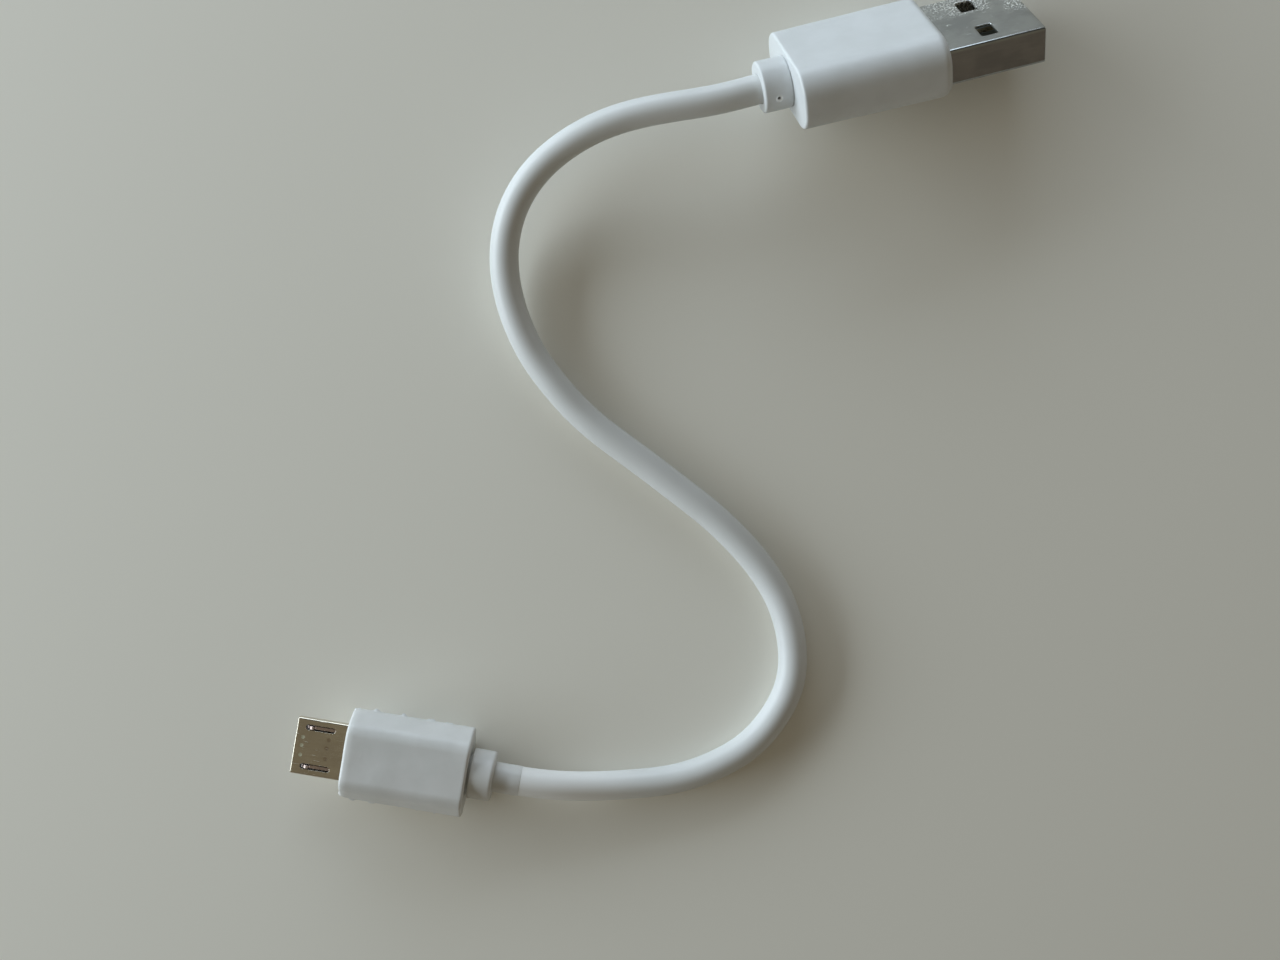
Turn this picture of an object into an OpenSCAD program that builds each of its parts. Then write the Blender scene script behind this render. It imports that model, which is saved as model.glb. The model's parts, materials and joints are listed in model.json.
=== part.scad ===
// Short USB-A to micro-B charging cable, lying loose in an S with the USB-A plug rolled on its edge.
// Each plug is drawn in its own frame: X runs from the cable, at x = 0, to the plug's mouth,
// Y is across the plug and +Z is out of its upper face. The place_ modules lay it on the table.

/* [Cable] */
// Outer diameter of the cable jacket
jacket_d = 3.5; // [3.3:0.1:3.6]
// Outer diameter of one insulated wire
wire_d = 0.85; // [0.7:0.05:0.85]
// Diameter of one copper core
core_d = 0.4; // [0.3:0.05:0.4]

/* [USB-A plug] */
// Width of the moulded grip at its rear
a_body_w = 15; // [15:0.1:16]
// Thickness of the moulded grip at its rear
a_body_t = 7.6; // [7.3:0.1:8]
// Length of the moulded grip without its collar
a_body_len = 17.8; // [17:0.1:19]
// Radius of the grip's long edges
a_edge_r = 3.3; // [2.6:0.1:3.5]
// How much wider the grip is at its front
a_flare = 0.4; // [0:0.1:0.4]
// How far off the plug's axis the grip sits at its rear
a_lean = 0.09; // [0:0.01:0.2]
// Diameter of the collar round the cable
a_collar_d = 6.1; // [5.6:0.1:6.6]
// Length of the collar
a_collar_len = 3.3; // [3:0.1:3.6]
// Width of the steel shell
a_shell_w = 12; // [12:0.1:12]
// Thickness of the steel shell
a_shell_t = 4.5; // [4.5:0.1:4.5]
// Length of steel shell that shows
a_shell_out = 11.7; // [11.6:0.1:12]
// Thickness of the shell's sheet
a_sheet = 0.3; // [0.3:0.01:0.32]

/* [Micro-B plug] */
// Width of the moulded grip
m_body_w = 10.7; // [10.4:0.1:11.4]
// Thickness of the moulded grip
m_body_t = 7; // [6.8:0.1:7.4]
// Length of the moulded grip without its collar
m_body_len = 14.8; // [14.4:0.1:15.4]
// Width of the grip's flat upper face
m_flat_w = 6.2; // [5.8:0.1:6.6]
// Diameter of the collar round the cable
m_collar_d = 6; // [5.6:0.1:6.4]
// Width of the steel shell
m_shell_w = 6.85; // [6.85:0.01:6.85]
// Thickness of the steel shell
m_shell_t = 1.8; // [1.8:0.01:1.8]
// Length of steel shell that shows
m_shell_out = 6.3; // [6:0.1:6.5]
// Thickness of the shell's sheet
m_sheet = 0.25; // [0.22:0.01:0.26]
// Distance between neighbouring contacts
m_pitch = 0.65; // [0.65:0.01:0.65]
// Distance of each latch from the middle of the plug
latch_y = 2.35; // [2.35:0.05:2.4]

/* [Pose] */
// Roll of the USB-A plug onto its long edge
a_roll = 47.5; // [47.5:0.5:47.5]
// Dip of the USB-A plug towards its mouth
a_tilt = 4; // [4:0.1:4]
// Heading of the USB-A plug on the table
a_yaw = 14.8; // [14.8:0.1:14.8]
// Heading of the micro-B plug on the table
m_yaw = 170.5; // [170.5:0.5:170.5]

/* [Hidden] */

$fn = 48;
eps = 0.01;

// Colours
pvc = [0.90, 0.92, 0.93];
inner_white = [0.80, 0.80, 0.76];
steel = [0.72, 0.71, 0.69];
insulator_black = [0.10, 0.10, 0.11];
gold = [0.83, 0.68, 0.32];
tin = [0.78, 0.79, 0.80];
copper = [0.80, 0.47, 0.28];

// Where the cable leaves each plug, and the route between, for the cable's centre
a_exit = [11.2, 36.3, 8.35];
m_exit = [-17.4, -45.8, 3.5];
route = [
    a_exit, [6.6, 35.1, 8.5], [1.9, 34.3, 8.4], [-2.8, 33.5, 8.1], [-7.3, 32.2, 7.6],
    [-11.5, 30.1, 6.8], [-15.2, 27.1, 5.9], [-17.8, 23.3, 5], [-19.1, 18.8, 4.1], [-19, 14.1, 3.3],
    [-17.8, 9.6, 2.7], [-15.7, 5.3, 2.2], [-12.9, 1.5, 2], [-9.6, -2, 1.8], [-5.9, -5, 1.8],
    [-2.1, -7.8, 1.8], [1.7, -10.7, 1.8], [5.5, -13.7, 1.8], [8.9, -16.9, 1.8], [12, -20.6, 1.8],
    [14.3, -24.7, 1.8], [15.5, -29.3, 1.8], [15.3, -34.1, 1.8], [13.3, -38.4, 1.8],
    [10.1, -41.9, 1.8], [6, -44.3, 1.8], [1.5, -45.8, 1.8], [-3.2, -46.4, 2], [-8, -46.6, 2.5],
    [-12.7, -46.4, 3.2], m_exit
];

// USB-A plug, along X
a_body_x = a_collar_len;
a_front_x = a_body_x + a_body_len;
a_tip_x = a_front_x + a_shell_out;
a_jacket_x = 7;
a_mould_x = [5, a_front_x - 2.3];
a_mould_w = 13.4;
a_mould_t = 5.9;
a_chamber_w = 11.4;
a_chamber_t = 4.1;
a_shell_x = a_front_x - 7.2;
a_shell_r = 0.6;
a_insulator_x = a_shell_x + 0.5;
a_cavity_x = a_tip_x - 12.3;
a_tongue_top = -0.15;
a_contact_top = -0.11;
a_contact_w = 1;
a_contact_t = 0.3;
a_tail_x = a_insulator_x - 3;
a_solder_x = [a_tail_x + 0.2, a_tail_x + 1.2];
a_solder_d = 0.96;
a_pins = [
    // offset across the plug, gap from the contact's front end to the shell's mouth
    [3.5, 1.4], [1, 2.4], [-1, 2.4], [-3.5, 1.4]
];
a_window = [2, 2.5];
a_window_r = 0.3;
a_window_gap = 5.16;
a_window_y = 6.4 / 2;

// Micro-B plug, along X
m_sleeve_d = jacket_d + 0.3;
m_neck_x = 3.1;
m_collar_x = 5.9;
m_body_x = 6.2;
m_front_x = m_body_x + m_body_len;
m_tip_x = m_front_x + m_shell_out;
m_jacket_x = 9.5;
m_mould_x = [8, m_front_x - 1.6];
m_mould_w = 8;
m_mould_t = 4;
m_chamber_w = 7;
m_chamber_t = 3;
m_shell_x = m_front_x - 4.4;
m_shell_r = 0.3;
m_under_w = 5.14;
m_insulator_x = m_shell_x - 1.4;
m_cavity_x = m_front_x + 0.6;
m_tongue_top = -0.2;
m_tail_x = m_insulator_x - 1.8;
m_tail_z = 0.28;
m_tail_step = [m_cavity_x - 4.4, m_cavity_x - 3];
m_solder_x = [m_tail_x + 0.2, m_tail_x + 1.2];
m_solder_d = 0.76;
m_pins = [2, 1, 0, -1, -2] * m_pitch;
m_pin_up = [true, false, true, false, true];
spring_root_x = m_cavity_x + 0.2;
spring_w = 0.3;
spring_t = 0.12;
spring_z = -0.35;
latch_root_x = m_front_x - 3;
latch_w = 0.4;
latch_t = 0.2;
latch_z = 0.5;
hook_z = 1.25;
slot_x = [m_tip_x - 4.65, m_tip_x - 1.05];
slot_w = 0.65;

// Wires: where each lies in the cable and where it is soldered
a_bundle = 0.5;
a_spread_x = a_tail_x - 0.8;
a_strip_x = a_tail_x - 0.4;
a_drain_z = -1.75;
a_solder_z = a_contact_top + core_d / 2;
m_bundle = 0.65;
m_spread_x = m_tail_x - 0.8;
m_strip_x = m_tail_x - 0.4;
m_solder_z = m_tail_z + spring_t + core_d / 2;

function a_wire(side, level, pin_y) = [
    [0, side * a_bundle, level * a_bundle], [a_jacket_x + 1, side * a_bundle, level * a_bundle],
    [a_spread_x, pin_y, a_solder_z], [a_strip_x, pin_y, a_solder_z],
    [a_solder_x[1] + 0.2, pin_y, a_solder_z]
];
function m_wire(y, z, pin_y, row) = [
    [0, y, z], [m_jacket_x + 0.8, y, z],
    [m_spread_x, pin_y, row * m_solder_z], [m_strip_x, pin_y, row * m_solder_z],
    [m_solder_x[1] + 0.2, pin_y, row * m_solder_z]
];
a_wires = [
    a_wire(1, 1, a_pins[0].x), a_wire(1, -1, a_pins[1].x),
    a_wire(-1, -1, a_pins[2].x), a_wire(-1, 1, a_pins[3].x)
];
m_wires = [
    m_wire(m_bundle, 0, m_pins[0], 1), m_wire(0, -m_bundle, m_pins[1], -1),
    m_wire(0, m_bundle, m_pins[2], 1), m_wire(-m_bundle, 0, m_pins[4], 1)
];
a_drain = [
    [0, 0, 0], [a_jacket_x + 2, 0, 0], [a_jacket_x + 3.6, 0, -0.8],
    [a_jacket_x + 5, 0, a_drain_z], [a_shell_x + 0.3, 0, a_drain_z]
];
m_drain_end = [m_shell_x + 0.8, -0.65, -1.1];
m_drain = [
    [0, 0, 0], [m_jacket_x + 1.1, 0, 0], [m_jacket_x + 2.1, -0.1, -0.08],
    [m_jacket_x + 3.3, -0.6, -0.8], [m_jacket_x + 4.3, m_drain_end.y, m_drain_end.z], m_drain_end
];

// Frames
module place_a() translate(a_exit) rotate([-a_roll, a_tilt, a_yaw]) children();
module place_m() translate(m_exit) rotate([0, 0, m_yaw]) children();

function unit(v) = v / norm(v);
function heading(tilt, yaw) = [cos(tilt) * cos(yaw), cos(tilt) * sin(yaw), -sin(tilt)];

// Sweeps a ring of the given number of sides along points, square to the given end directions
function along(points, i, first, last) =
    i == 0 ? first : i == len(points) - 1 ? last : unit(points[i + 1] - points[i - 1]);
function ring(centre, t, r, sides) =
    let (side = unit(cross([0, 0, 1], t)), up = cross(t, side))
    [for (k = [0:sides - 1]) let (a = 360 * (k + 0.5) / sides) centre + r * (cos(a) * side + sin(a) * up)];

// Closes a stack of equal rings into one solid
module skin(rings) {
    n = len(rings[0]);
    last = (len(rings) - 1) * n;
    polyhedron(
        points = [for (r = rings) each r],
        faces = concat(
            [[for (k = [0:n - 1]) k], [for (k = [n - 1:-1:0]) last + k]],
            [for (i = [0:len(rings) - 2], k = [0:n - 1]) let (a = i * n + k, b = i * n + (k + 1) % n)
                each [[a, a + n, b + n], [a, b + n, b]]]
        )
    );
}
module swept(points, d, sides, first, last)
    skin([for (i = [0:len(points) - 1]) ring(points[i], along(points, i, first, last), d / 2, sides)]);

// A wire through points, both ends square to X
module strand(points, d, sides = 12) swept(points, d, sides, [1, 0, 0], [1, 0, 0]);

// Section of a moulded form: its core corners pushed out by r on every side, as [y, z] points
function outline(corners, r, n = 48) = [
    for (k = [0:n - 1])
        let (
            a = 360 * (k + 0.5) / n,
            d = [cos(a), sin(a)],
            reach = max([for (c = corners) c * d])
        ) [for (c = corners) if (c * d > reach - 1e-6) c][0] + r * d
];

// Rounded end of a grip, as [x, inset] pairs from its end face inwards
function rounding(x, dir, e, steps = 4) =
    [for (i = [0:steps]) let (a = 90 * i / steps) [x + dir * e * (1 - cos(a)), e * (1 - sin(a))]];
function reversed(list) = [for (i = [len(list) - 1:-1:0]) list[i]];

// Moulded grip along X from one core outline to another, with rounded ends
module grip(x0, x1, rear, front, r, e0, e1) {
    stations = concat(rounding(x0, 1, e0), reversed(rounding(x1, -1, e1)));
    skin([
        for (s = stations) let (f = (s.x - x0) / (x1 - x0))
            [for (p = outline(rear + (front - rear) * f, r - s.y)) [s.x, p.x, p.y]]
    ]);
}

// Round collar along X with rounded rims
module collar(x0, x1, d, e0, e1) {
    rims = concat(rounding(x0, 1, e0), reversed(rounding(x1, -1, e1)));
    rotate([0, 90, 0]) rotate_extrude()
        polygon(concat([[0, x0]], [for (p = rims) [d / 2 - p.y, p.x]], [[0, x1]]));
}

// Straight stretches along X
module along_x(x0, x1) translate([x0, 0, 0]) rotate([90, 0, 90]) linear_extrude(x1 - x0) children();
module rod_x(x0, x1, d, y = 0, z = 0) translate([x0, y, z]) rotate([0, 90, 0]) cylinder(d = d, h = x1 - x0);
module box_x(x0, x1, y, w, z0, z1) translate([x0, y - w / 2, z0]) cube([x1 - x0, w, z1 - z0]);
module tube_x(x0, x1, d, bore) difference() {
    rod_x(x0, x1, d);
    rod_x(x0 - 1, x1 + 1, bore);
}

// Side profile in X and Z, as wide as w across the plug
module side(y, w) translate([0, y + w / 2, 0]) rotate([90, 0, 0]) linear_extrude(w) children();

// Rectangle with rounded corners
module rounded_rect(w, h, r) {
    square([w - 2 * r, h], center = true);
    square([w, h - 2 * r], center = true);
    for (sx = [-1, 1], sy = [-1, 1]) translate([sx * (w / 2 - r), sy * (h / 2 - r)]) circle(r);
}

// USB-A plug

function a_core(w, t, lean) = [for (s = [[1, 1], [-1, 1], [-1, -1], [1, -1]])
    [s.x * (w / 2 - a_edge_r) + lean, s.y * (t / 2 - a_edge_r) + lean]];
module a_outline(inset = 0)
    rounded_rect(a_shell_w - 2 * inset, a_shell_t - 2 * inset, a_shell_r - inset);
module a_mould_block() along_x(a_mould_x[0], a_mould_x[1]) rounded_rect(a_mould_w, a_mould_t, 1);

module a_overmould() color(pvc) place_a() difference() {
    union() {
        grip(
            a_body_x, a_front_x, a_core(a_body_w, a_body_t, a_lean),
            a_core(a_body_w + a_flare, a_body_t + a_flare / 2, a_lean / 3), a_edge_r, 0.35, 0.9
        );
        // Collar, and a narrower waist where it meets the body
        translate([0, a_lean, a_lean]) {
            collar(0, a_body_x - 0.2, a_collar_d, 0.5, 0.12);
            rod_x(a_body_x - 0.5, a_body_x + 0.5, a_collar_d - 0.4);
        }
    }
    a_mould_block();
    along_x(a_mould_x[1] - eps, a_front_x + 1) a_outline();
    rod_x(-1, a_mould_x[0] + eps, jacket_d);
}

module a_inner_mould() color(inner_white) place_a() difference() {
    a_mould_block();
    box_x(a_jacket_x, a_shell_x + eps, 0, a_chamber_w, -a_chamber_t / 2, a_chamber_t / 2);
    along_x(a_shell_x, a_mould_x[1] + 1) a_outline();
    rod_x(a_mould_x[0] - 1, a_jacket_x + eps, jacket_d);
}

module a_shell() color(steel) place_a() difference() {
    along_x(a_shell_x, a_tip_x) difference() {
        a_outline();
        a_outline(a_sheet);
    }
    // Detent windows in both wide walls
    for (y = [-a_window_y, a_window_y])
        translate([a_tip_x - a_window_gap - a_window.x / 2, y, -a_shell_t])
            linear_extrude(2 * a_shell_t) rounded_rect(a_window.x, a_window.y, a_window_r);
    // Seam of the folded sheet
    box_x(a_shell_x - 1, a_tip_x + 1, 0, 0.08, -3, 0);
}

// Front end of a contact, past the gap that its pin leaves to the mouth
function a_contact_end(i) = a_tip_x - a_pins[i][1];
module a_contact_shape(i) {
    x1 = a_contact_end(i);
    top = a_contact_top;
    side(a_pins[i].x, a_contact_w) polygon([
        [a_tail_x, top], [x1 - 0.5, top], [x1, top - 0.55], [x1 - 0.2, top - 0.75],
        [x1 - 0.62, top - a_contact_t], [a_tail_x, top - a_contact_t]
    ]);
}
module a_contact(i) color(gold) place_a() a_contact_shape(i);
module a_contact_vbus() a_contact(0);
module a_contact_data_minus() a_contact(1);
module a_contact_data_plus() a_contact(2);
module a_contact_ground() a_contact(3);

module a_insulator() color(insulator_black) place_a() difference() {
    inner = a_shell_t / 2 - a_sheet;
    intersection() {
        along_x(a_insulator_x, a_tip_x) a_outline(a_sheet);
        side(0, a_shell_w) polygon([
            [a_insulator_x, -inner], [a_tip_x - 0.3, -inner], [a_tip_x - 0.3, a_tongue_top - 0.5],
            [a_tip_x - 0.8, a_tongue_top], [a_cavity_x, a_tongue_top], [a_cavity_x, inner],
            [a_insulator_x, inner]
        ]);
    }
    for (i = [0:3]) {
        a_contact_shape(i);
        box_x(
            a_contact_end(i) - 0.5, a_contact_end(i) + 0.25, a_pins[i].x, a_contact_w,
            a_contact_top - 0.5, 0
        );
    }
}

module a_solder() color(tin) place_a() for (i = [0:3]) difference() {
    rod_x(a_solder_x[0], a_solder_x[1], a_solder_d, a_pins[i].x, a_solder_z);
    box_x(a_solder_x[0] - 1, a_solder_x[1] + 1, a_pins[i].x, 2, -1, a_contact_top);
    strand(a_wires[i], core_d);
}

// Cable

module cable() color(pvc)
    swept(route, jacket_d, 8, -heading(a_tilt, a_yaw), heading(0, m_yaw));

module jacket_ends() color(pvc) {
    place_a() tube_x(0, a_jacket_x, jacket_d, 2.5);
    place_m() tube_x(0, m_jacket_x, jacket_d, 2.5);
}

module foil_shield_ends() color(tin) {
    place_a() tube_x(0, a_jacket_x + 0.8, 2.5, 2.3);
    place_m() tube_x(0, m_jacket_x + 0.7, 2.5, 2.3);
}

module drain_wire_ends() color(tin) {
    place_a() strand(a_drain, core_d);
    place_m() strand(m_drain, core_d);
}

module copper_core_ends() color(copper) {
    place_a() for (w = a_wires) strand(w, core_d);
    place_m() for (w = m_wires) strand(w, core_d);
}

// Insulation of one wire, with the bore that its core runs in
module insulation(points) difference() {
    strand([for (i = [0:3]) points[i]], wire_d);
    strand(concat([points[0] - [1, 0, 0]], points), core_d);
}
module wire_ends(i) {
    place_a() insulation(a_wires[i]);
    place_m() insulation(m_wires[i]);
}
module red_wire_ends() color("firebrick") wire_ends(0);
module white_wire_ends() color("whitesmoke") wire_ends(1);
module green_wire_ends() color("seagreen") wire_ends(2);
module black_wire_ends() color("dimgray") wire_ends(3);

// Micro-B plug

m_core = let (x = m_body_w / 2 - 1, f = m_flat_w / 2 - 0.4, t = m_body_t / 2 - 1) [
    [x, 0.4], [f, t], [-f, t], [-x, 0.4], [-x, -0.4], [-f, -t], [f, -t], [x, -0.4]
];
m_shell_core = let (w = m_shell_w / 2 - m_shell_r, t = m_shell_t / 2 - m_shell_r, u = m_under_w / 2) [
    [w, t], [-w, t], [-w, 0.02], [-u, -t], [u, -t], [w, 0.02]
];
module m_outline(inset = 0) polygon(outline(m_shell_core, m_shell_r - inset));
module m_mould_block() along_x(m_mould_x[0], m_mould_x[1]) rounded_rect(m_mould_w, m_mould_t, 0.8);

module micro_overmould() color(pvc) place_m() difference() {
    union() {
        grip(m_body_x, m_front_x, m_core, m_core, 1, 0.35, 0.25);
        collar(m_neck_x, m_collar_x, m_collar_d, 0.4, 0.2);
        // Waist behind the body and sleeve round the cable
        rod_x(m_collar_x - 0.5, m_body_x + 0.5, 4.4);
        rod_x(0, m_neck_x + 0.5, m_sleeve_d);
    }
    m_mould_block();
    along_x(m_mould_x[1] - eps, m_front_x + 1) m_outline();
    rod_x(-1, m_mould_x[0] + eps, jacket_d);
}

module micro_inner_mould() color(inner_white) place_m() difference() {
    m_mould_block();
    box_x(m_jacket_x, m_shell_x + eps, 0, m_chamber_w, -m_chamber_t / 2, m_chamber_t / 2);
    along_x(m_shell_x, m_mould_x[1] + 1) m_outline();
    rod_x(m_mould_x[0] - 1, m_jacket_x + eps, jacket_d);
    rod_x(m_shell_x - 0.5, m_drain_end.x + 0.1, core_d, m_drain_end.y, m_drain_end.z);
}

module micro_shell() color(steel) place_m() difference() {
    along_x(m_shell_x, m_tip_x) difference() {
        m_outline();
        m_outline(m_sheet);
    }
    // Slots that the latch hooks come out of
    for (y = [-latch_y, latch_y]) {
        box_x(slot_x[0] + slot_w / 2, slot_x[1] - slot_w / 2, y, slot_w, 0, 2);
        for (x = [slot_x[0] + slot_w / 2, slot_x[1] - slot_w / 2])
            translate([x, y, 0]) cylinder(d = slot_w, h = 2);
    }
    // Seam of the folded sheet
    box_x(m_shell_x - 1, m_tip_x + 1, 0, 0.06, -2, 0);
}

// Fixed end of a contact: an upper tail steps down to the row of springs
module m_tail_shape(i) {
    low = spring_z - spring_t / 2;
    high = m_pin_up[i] ? m_tail_z : low;
    side(m_pins[i], spring_w) polygon([
        [m_tail_x, high], [m_tail_step[0], high], [m_tail_step[1], low], [spring_root_x, low],
        [spring_root_x, low + spring_t], [m_tail_step[1], low + spring_t],
        [m_tail_step[0], high + spring_t], [m_tail_x, high + spring_t]
    ]);
}
module micro_contact_tails() color(gold) place_m() for (i = [0:4]) m_tail_shape(i);

// Bowed arm of a contact, which dips when the mating tongue slides over it
module contact_spring(i) color(gold) place_m() {
    x = spring_root_x;
    top = spring_z + spring_t / 2;
    side(m_pins[i], spring_w) polygon([
        [x, top - spring_t], [x + 3.1, -0.04], [x + 3.7, -0.02], [x + 4.3, -0.24], [x + 4.4, -0.14],
        [x + 3.75, 0.1], [x + 3.05, 0.08], [x, top]
    ]);
}
module contact_spring_1() contact_spring(0);
module contact_spring_2() contact_spring(1);
module contact_spring_3() contact_spring(2);
module contact_spring_4() contact_spring(3);
module contact_spring_5() contact_spring(4);

module latch_root_shape(y)
    box_x(m_insulator_x + 0.4, latch_root_x, y, slot_w, latch_z - latch_t / 2, latch_z + latch_t / 2);
module micro_latch_roots() color(steel) place_m() for (y = [-latch_y, latch_y]) latch_root_shape(y);

// Spring arm with the hook that catches in the socket
module latch(y) color(steel) place_m() {
    x = slot_x[1];
    low = latch_z - latch_t / 2;
    high = latch_z + latch_t / 2;
    side(y, latch_w) polygon([
        [latch_root_x, low], [x - 0.39, low], [x - 0.14, latch_z], [x - 0.19, high],
        [x - 0.74, hook_z - 0.05], [x - 0.89, hook_z], [x - 1.04, hook_z - 0.05], [x - 1.14, high],
        [latch_root_x, high]
    ]);
}
module latch_left() latch(latch_y);
module latch_right() latch(-latch_y);

module micro_insulator() color(insulator_black) place_m() difference() {
    intersection() {
        along_x(m_insulator_x, m_tip_x) m_outline(m_sheet);
        side(0, m_shell_w) polygon([
            [m_insulator_x, -1], [m_tip_x - 0.3, -1], [m_tip_x - 0.3, m_tongue_top - 0.2],
            [m_tip_x - 0.5, m_tongue_top], [m_cavity_x, m_tongue_top], [m_cavity_x, 1],
            [m_insulator_x, 1]
        ]);
    }
    for (i = [0:4]) {
        m_tail_shape(i);
        box_x(spring_root_x, spring_root_x + 4.65, m_pins[i], spring_w + 0.1, -0.55, 0.2);
    }
    for (y = [-latch_y, latch_y]) {
        latch_root_shape(y);
        box_x(latch_root_x, m_cavity_x + 1, y, slot_w, 0, 1);
    }
}

module micro_solder() color(tin) place_m() for (i = [0:3]) {
    pin = m_wires[i][4];
    up = sign(pin.z);
    pad = m_tail_z + spring_t;
    difference() {
        rod_x(m_solder_x[0], m_solder_x[1], m_solder_d, pin.y, pin.z);
        box_x(m_solder_x[0] - 1, m_solder_x[1] + 1, pin.y, 2, up > 0 ? -1 : -pad, up > 0 ? pad : 1);
        strand(m_wires[i], core_d);
    }
}

a_overmould();
a_inner_mould();
a_shell();
a_insulator();
a_contact_vbus();
a_contact_data_minus();
a_contact_data_plus();
a_contact_ground();
a_solder();
cable();
jacket_ends();
foil_shield_ends();
drain_wire_ends();
copper_core_ends();
red_wire_ends();
white_wire_ends();
green_wire_ends();
black_wire_ends();
micro_overmould();
micro_inner_mould();
micro_shell();
micro_insulator();
micro_latch_roots();
latch_left();
latch_right();
micro_contact_tails();
contact_spring_1();
contact_spring_2();
contact_spring_3();
contact_spring_4();
contact_spring_5();
micro_solder();
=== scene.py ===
import json
import math

import bmesh
import bpy
import numpy as np
from mathutils import Matrix, Vector, noise


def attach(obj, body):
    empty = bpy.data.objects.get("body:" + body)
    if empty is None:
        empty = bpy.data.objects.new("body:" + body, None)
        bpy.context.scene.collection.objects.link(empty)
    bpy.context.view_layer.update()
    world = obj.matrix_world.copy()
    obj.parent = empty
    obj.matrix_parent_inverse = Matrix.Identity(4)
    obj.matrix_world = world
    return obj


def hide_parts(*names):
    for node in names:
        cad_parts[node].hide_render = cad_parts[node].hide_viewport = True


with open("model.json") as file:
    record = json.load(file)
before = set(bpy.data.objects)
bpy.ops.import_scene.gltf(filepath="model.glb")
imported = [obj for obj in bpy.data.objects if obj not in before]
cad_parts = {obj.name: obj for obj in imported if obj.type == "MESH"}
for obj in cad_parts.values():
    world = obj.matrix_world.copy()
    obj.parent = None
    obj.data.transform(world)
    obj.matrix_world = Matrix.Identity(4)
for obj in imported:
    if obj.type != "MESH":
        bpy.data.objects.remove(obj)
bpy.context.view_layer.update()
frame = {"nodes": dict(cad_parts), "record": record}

# Lengths are millimetres in each plug's own frame, as in the part's source: X runs from the cable
# to the plug's mouth, Y is across and +Z is out of the upper face. Meshes are made in that frame
# and then laid on the table in metres.
MM = 0.001
ROOT = "cable_and_plugs"

# Sides of a plug's sections, of the arcs they are first drawn with, of the cable and of a hole,
# and the angle from which an edge is shaded sharp
SIDES, ARC_SIDES, CABLE_SIDES, HOLE_SIDES = 288, 720, 72, 96
CREASE = math.radians(38)

CAMERA_AT = (-0.0029, -0.0096, 0.196)
CAMERA_LENS, SENSOR_W = 45, 36

# Cable, the places on the table where it leaves each plug, and the plugs' turns in degrees. The
# grips' bores are a little narrower than the cable, so that no gap shows round it.
JACKET_D = 3.5
BORE_R = JACKET_D / 2 - 0.06
A_EXIT = (11.2, 36.3, 8.35)
A_ROLL, A_TILT, A_YAW = -47.5, 4, 14.8
M_EXIT = (-17.4, -45.8, 3.5)
M_YAW = 170.5
ROUTE = [
    A_EXIT, (6.6, 35.1, 8.5), (1.9, 34.3, 8.4), (-2.8, 33.5, 8.1), (-7.3, 32.2, 7.6),
    (-11.5, 30.1, 6.8), (-15.2, 27.1, 5.9), (-17.8, 23.3, 5), (-19.1, 18.8, 4.1), (-19, 14.1, 3.3),
    (-17.8, 9.6, 2.7), (-15.7, 5.3, 2.2), (-12.9, 1.5, 2), (-9.6, -2, 1.8), (-5.9, -5, 1.8),
    (-2.1, -7.8, 1.8), (1.7, -10.7, 1.8), (5.5, -13.7, 1.8), (8.9, -16.9, 1.8), (12, -20.6, 1.8),
    (14.3, -24.7, 1.8), (15.5, -29.3, 1.8), (15.3, -34.1, 1.8), (13.3, -38.4, 1.8),
    (10.1, -41.9, 1.8), (6, -44.3, 1.8), (1.5, -45.8, 1.8), (-3.2, -46.4, 2), (-8, -46.6, 2.5),
    (-12.7, -46.4, 3.2), M_EXIT,
]

# USB-A plug. The mark on its collar is placed by X and by degrees round the collar.
A_REAR_X, A_BODY_X, A_FRONT_X, A_TIP_X = -0.15, 3.3, 21.1, 32.8
A_COLLAR_D, A_COLLAR_RIM_R = 6.1, 0.28
A_BODY_W, A_BODY_T, A_EDGE_R, A_FLARE, A_LEAN = 15, 7.6, 3.3, 0.4, 0.09
A_REAR_R, A_FRONT_R, A_MOUTH_R = 0.3, 0.95, 0.12
A_MARK_AT, A_MARK_R, A_MARK_DEPTH, A_MARK_WALL = (1.47, 185.3), 0.42, 0.14, 0.18
A_DOT_R, A_DOT_DEPTH, A_DOT_DOME = 0.17, 0.13, 0.03
A_MOULD_X, A_MOULD_W, A_MOULD_T = (5, 18.8), 13.4, 5.9
A_SHELL_X, A_SHELL_W, A_SHELL_T, A_SHELL_R, A_SHEET = 13.9, 12, 4.5, 0.4, 0.3
A_WINDOW, A_WINDOW_R, A_WINDOW_AT, A_WINDOW_LIP = (2, 2.5), 0.3, (26.64, 3.2), 0.1
A_SCRATCH_AT = (23.2, -0.2)

# Micro-B plug. Each punch mark in its shell has X, Y and 1 where it is pale, -1 where dark.
M_NECK_X, M_COLLAR_X, M_BODY_X, M_FRONT_X, M_TIP_X = 3.1, 5.9, 6.2, 21, 27.3
M_SLEEVE_D, M_COLLAR_D, M_WAIST_D = 3.64, 6, 4.4
M_BODY_W, M_BODY_T, M_FLAT_W, M_SIDE_Z = 10.7, 7, 6.9, 0.4
M_EDGE_R, M_RIDGE_R, M_RIDGE_IN = 1, 1, 0.91
M_MOULD_X, M_MOULD_W, M_MOULD_T = (8, 19.4), 8, 4
M_SHELL_X, M_SHELL_W, M_SHELL_T, M_SHELL_R, M_SHEET = 16.6, 6.85, 1.8, 0.3, 0.25
M_UNDER_W, M_CHAMFER_Z = 5.14, 0.02
M_SLOT_X, M_SLOT_W, M_SLOT_LIP, M_LATCH_Y = (22.65, 26.25), 0.65, 0.03, 2.35
M_PUNCHES = [
    (26.4, -1.1, 1), (26.42, -0.1, 1), (26.4, 1.05, 1),
    (23.3, -1.2, -1), (23.4, -0.2, -1), (23.35, 1.1, -1),
]
M_PUNCHED_X = ((22.9, 23.9), (26, 26.9))

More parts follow.
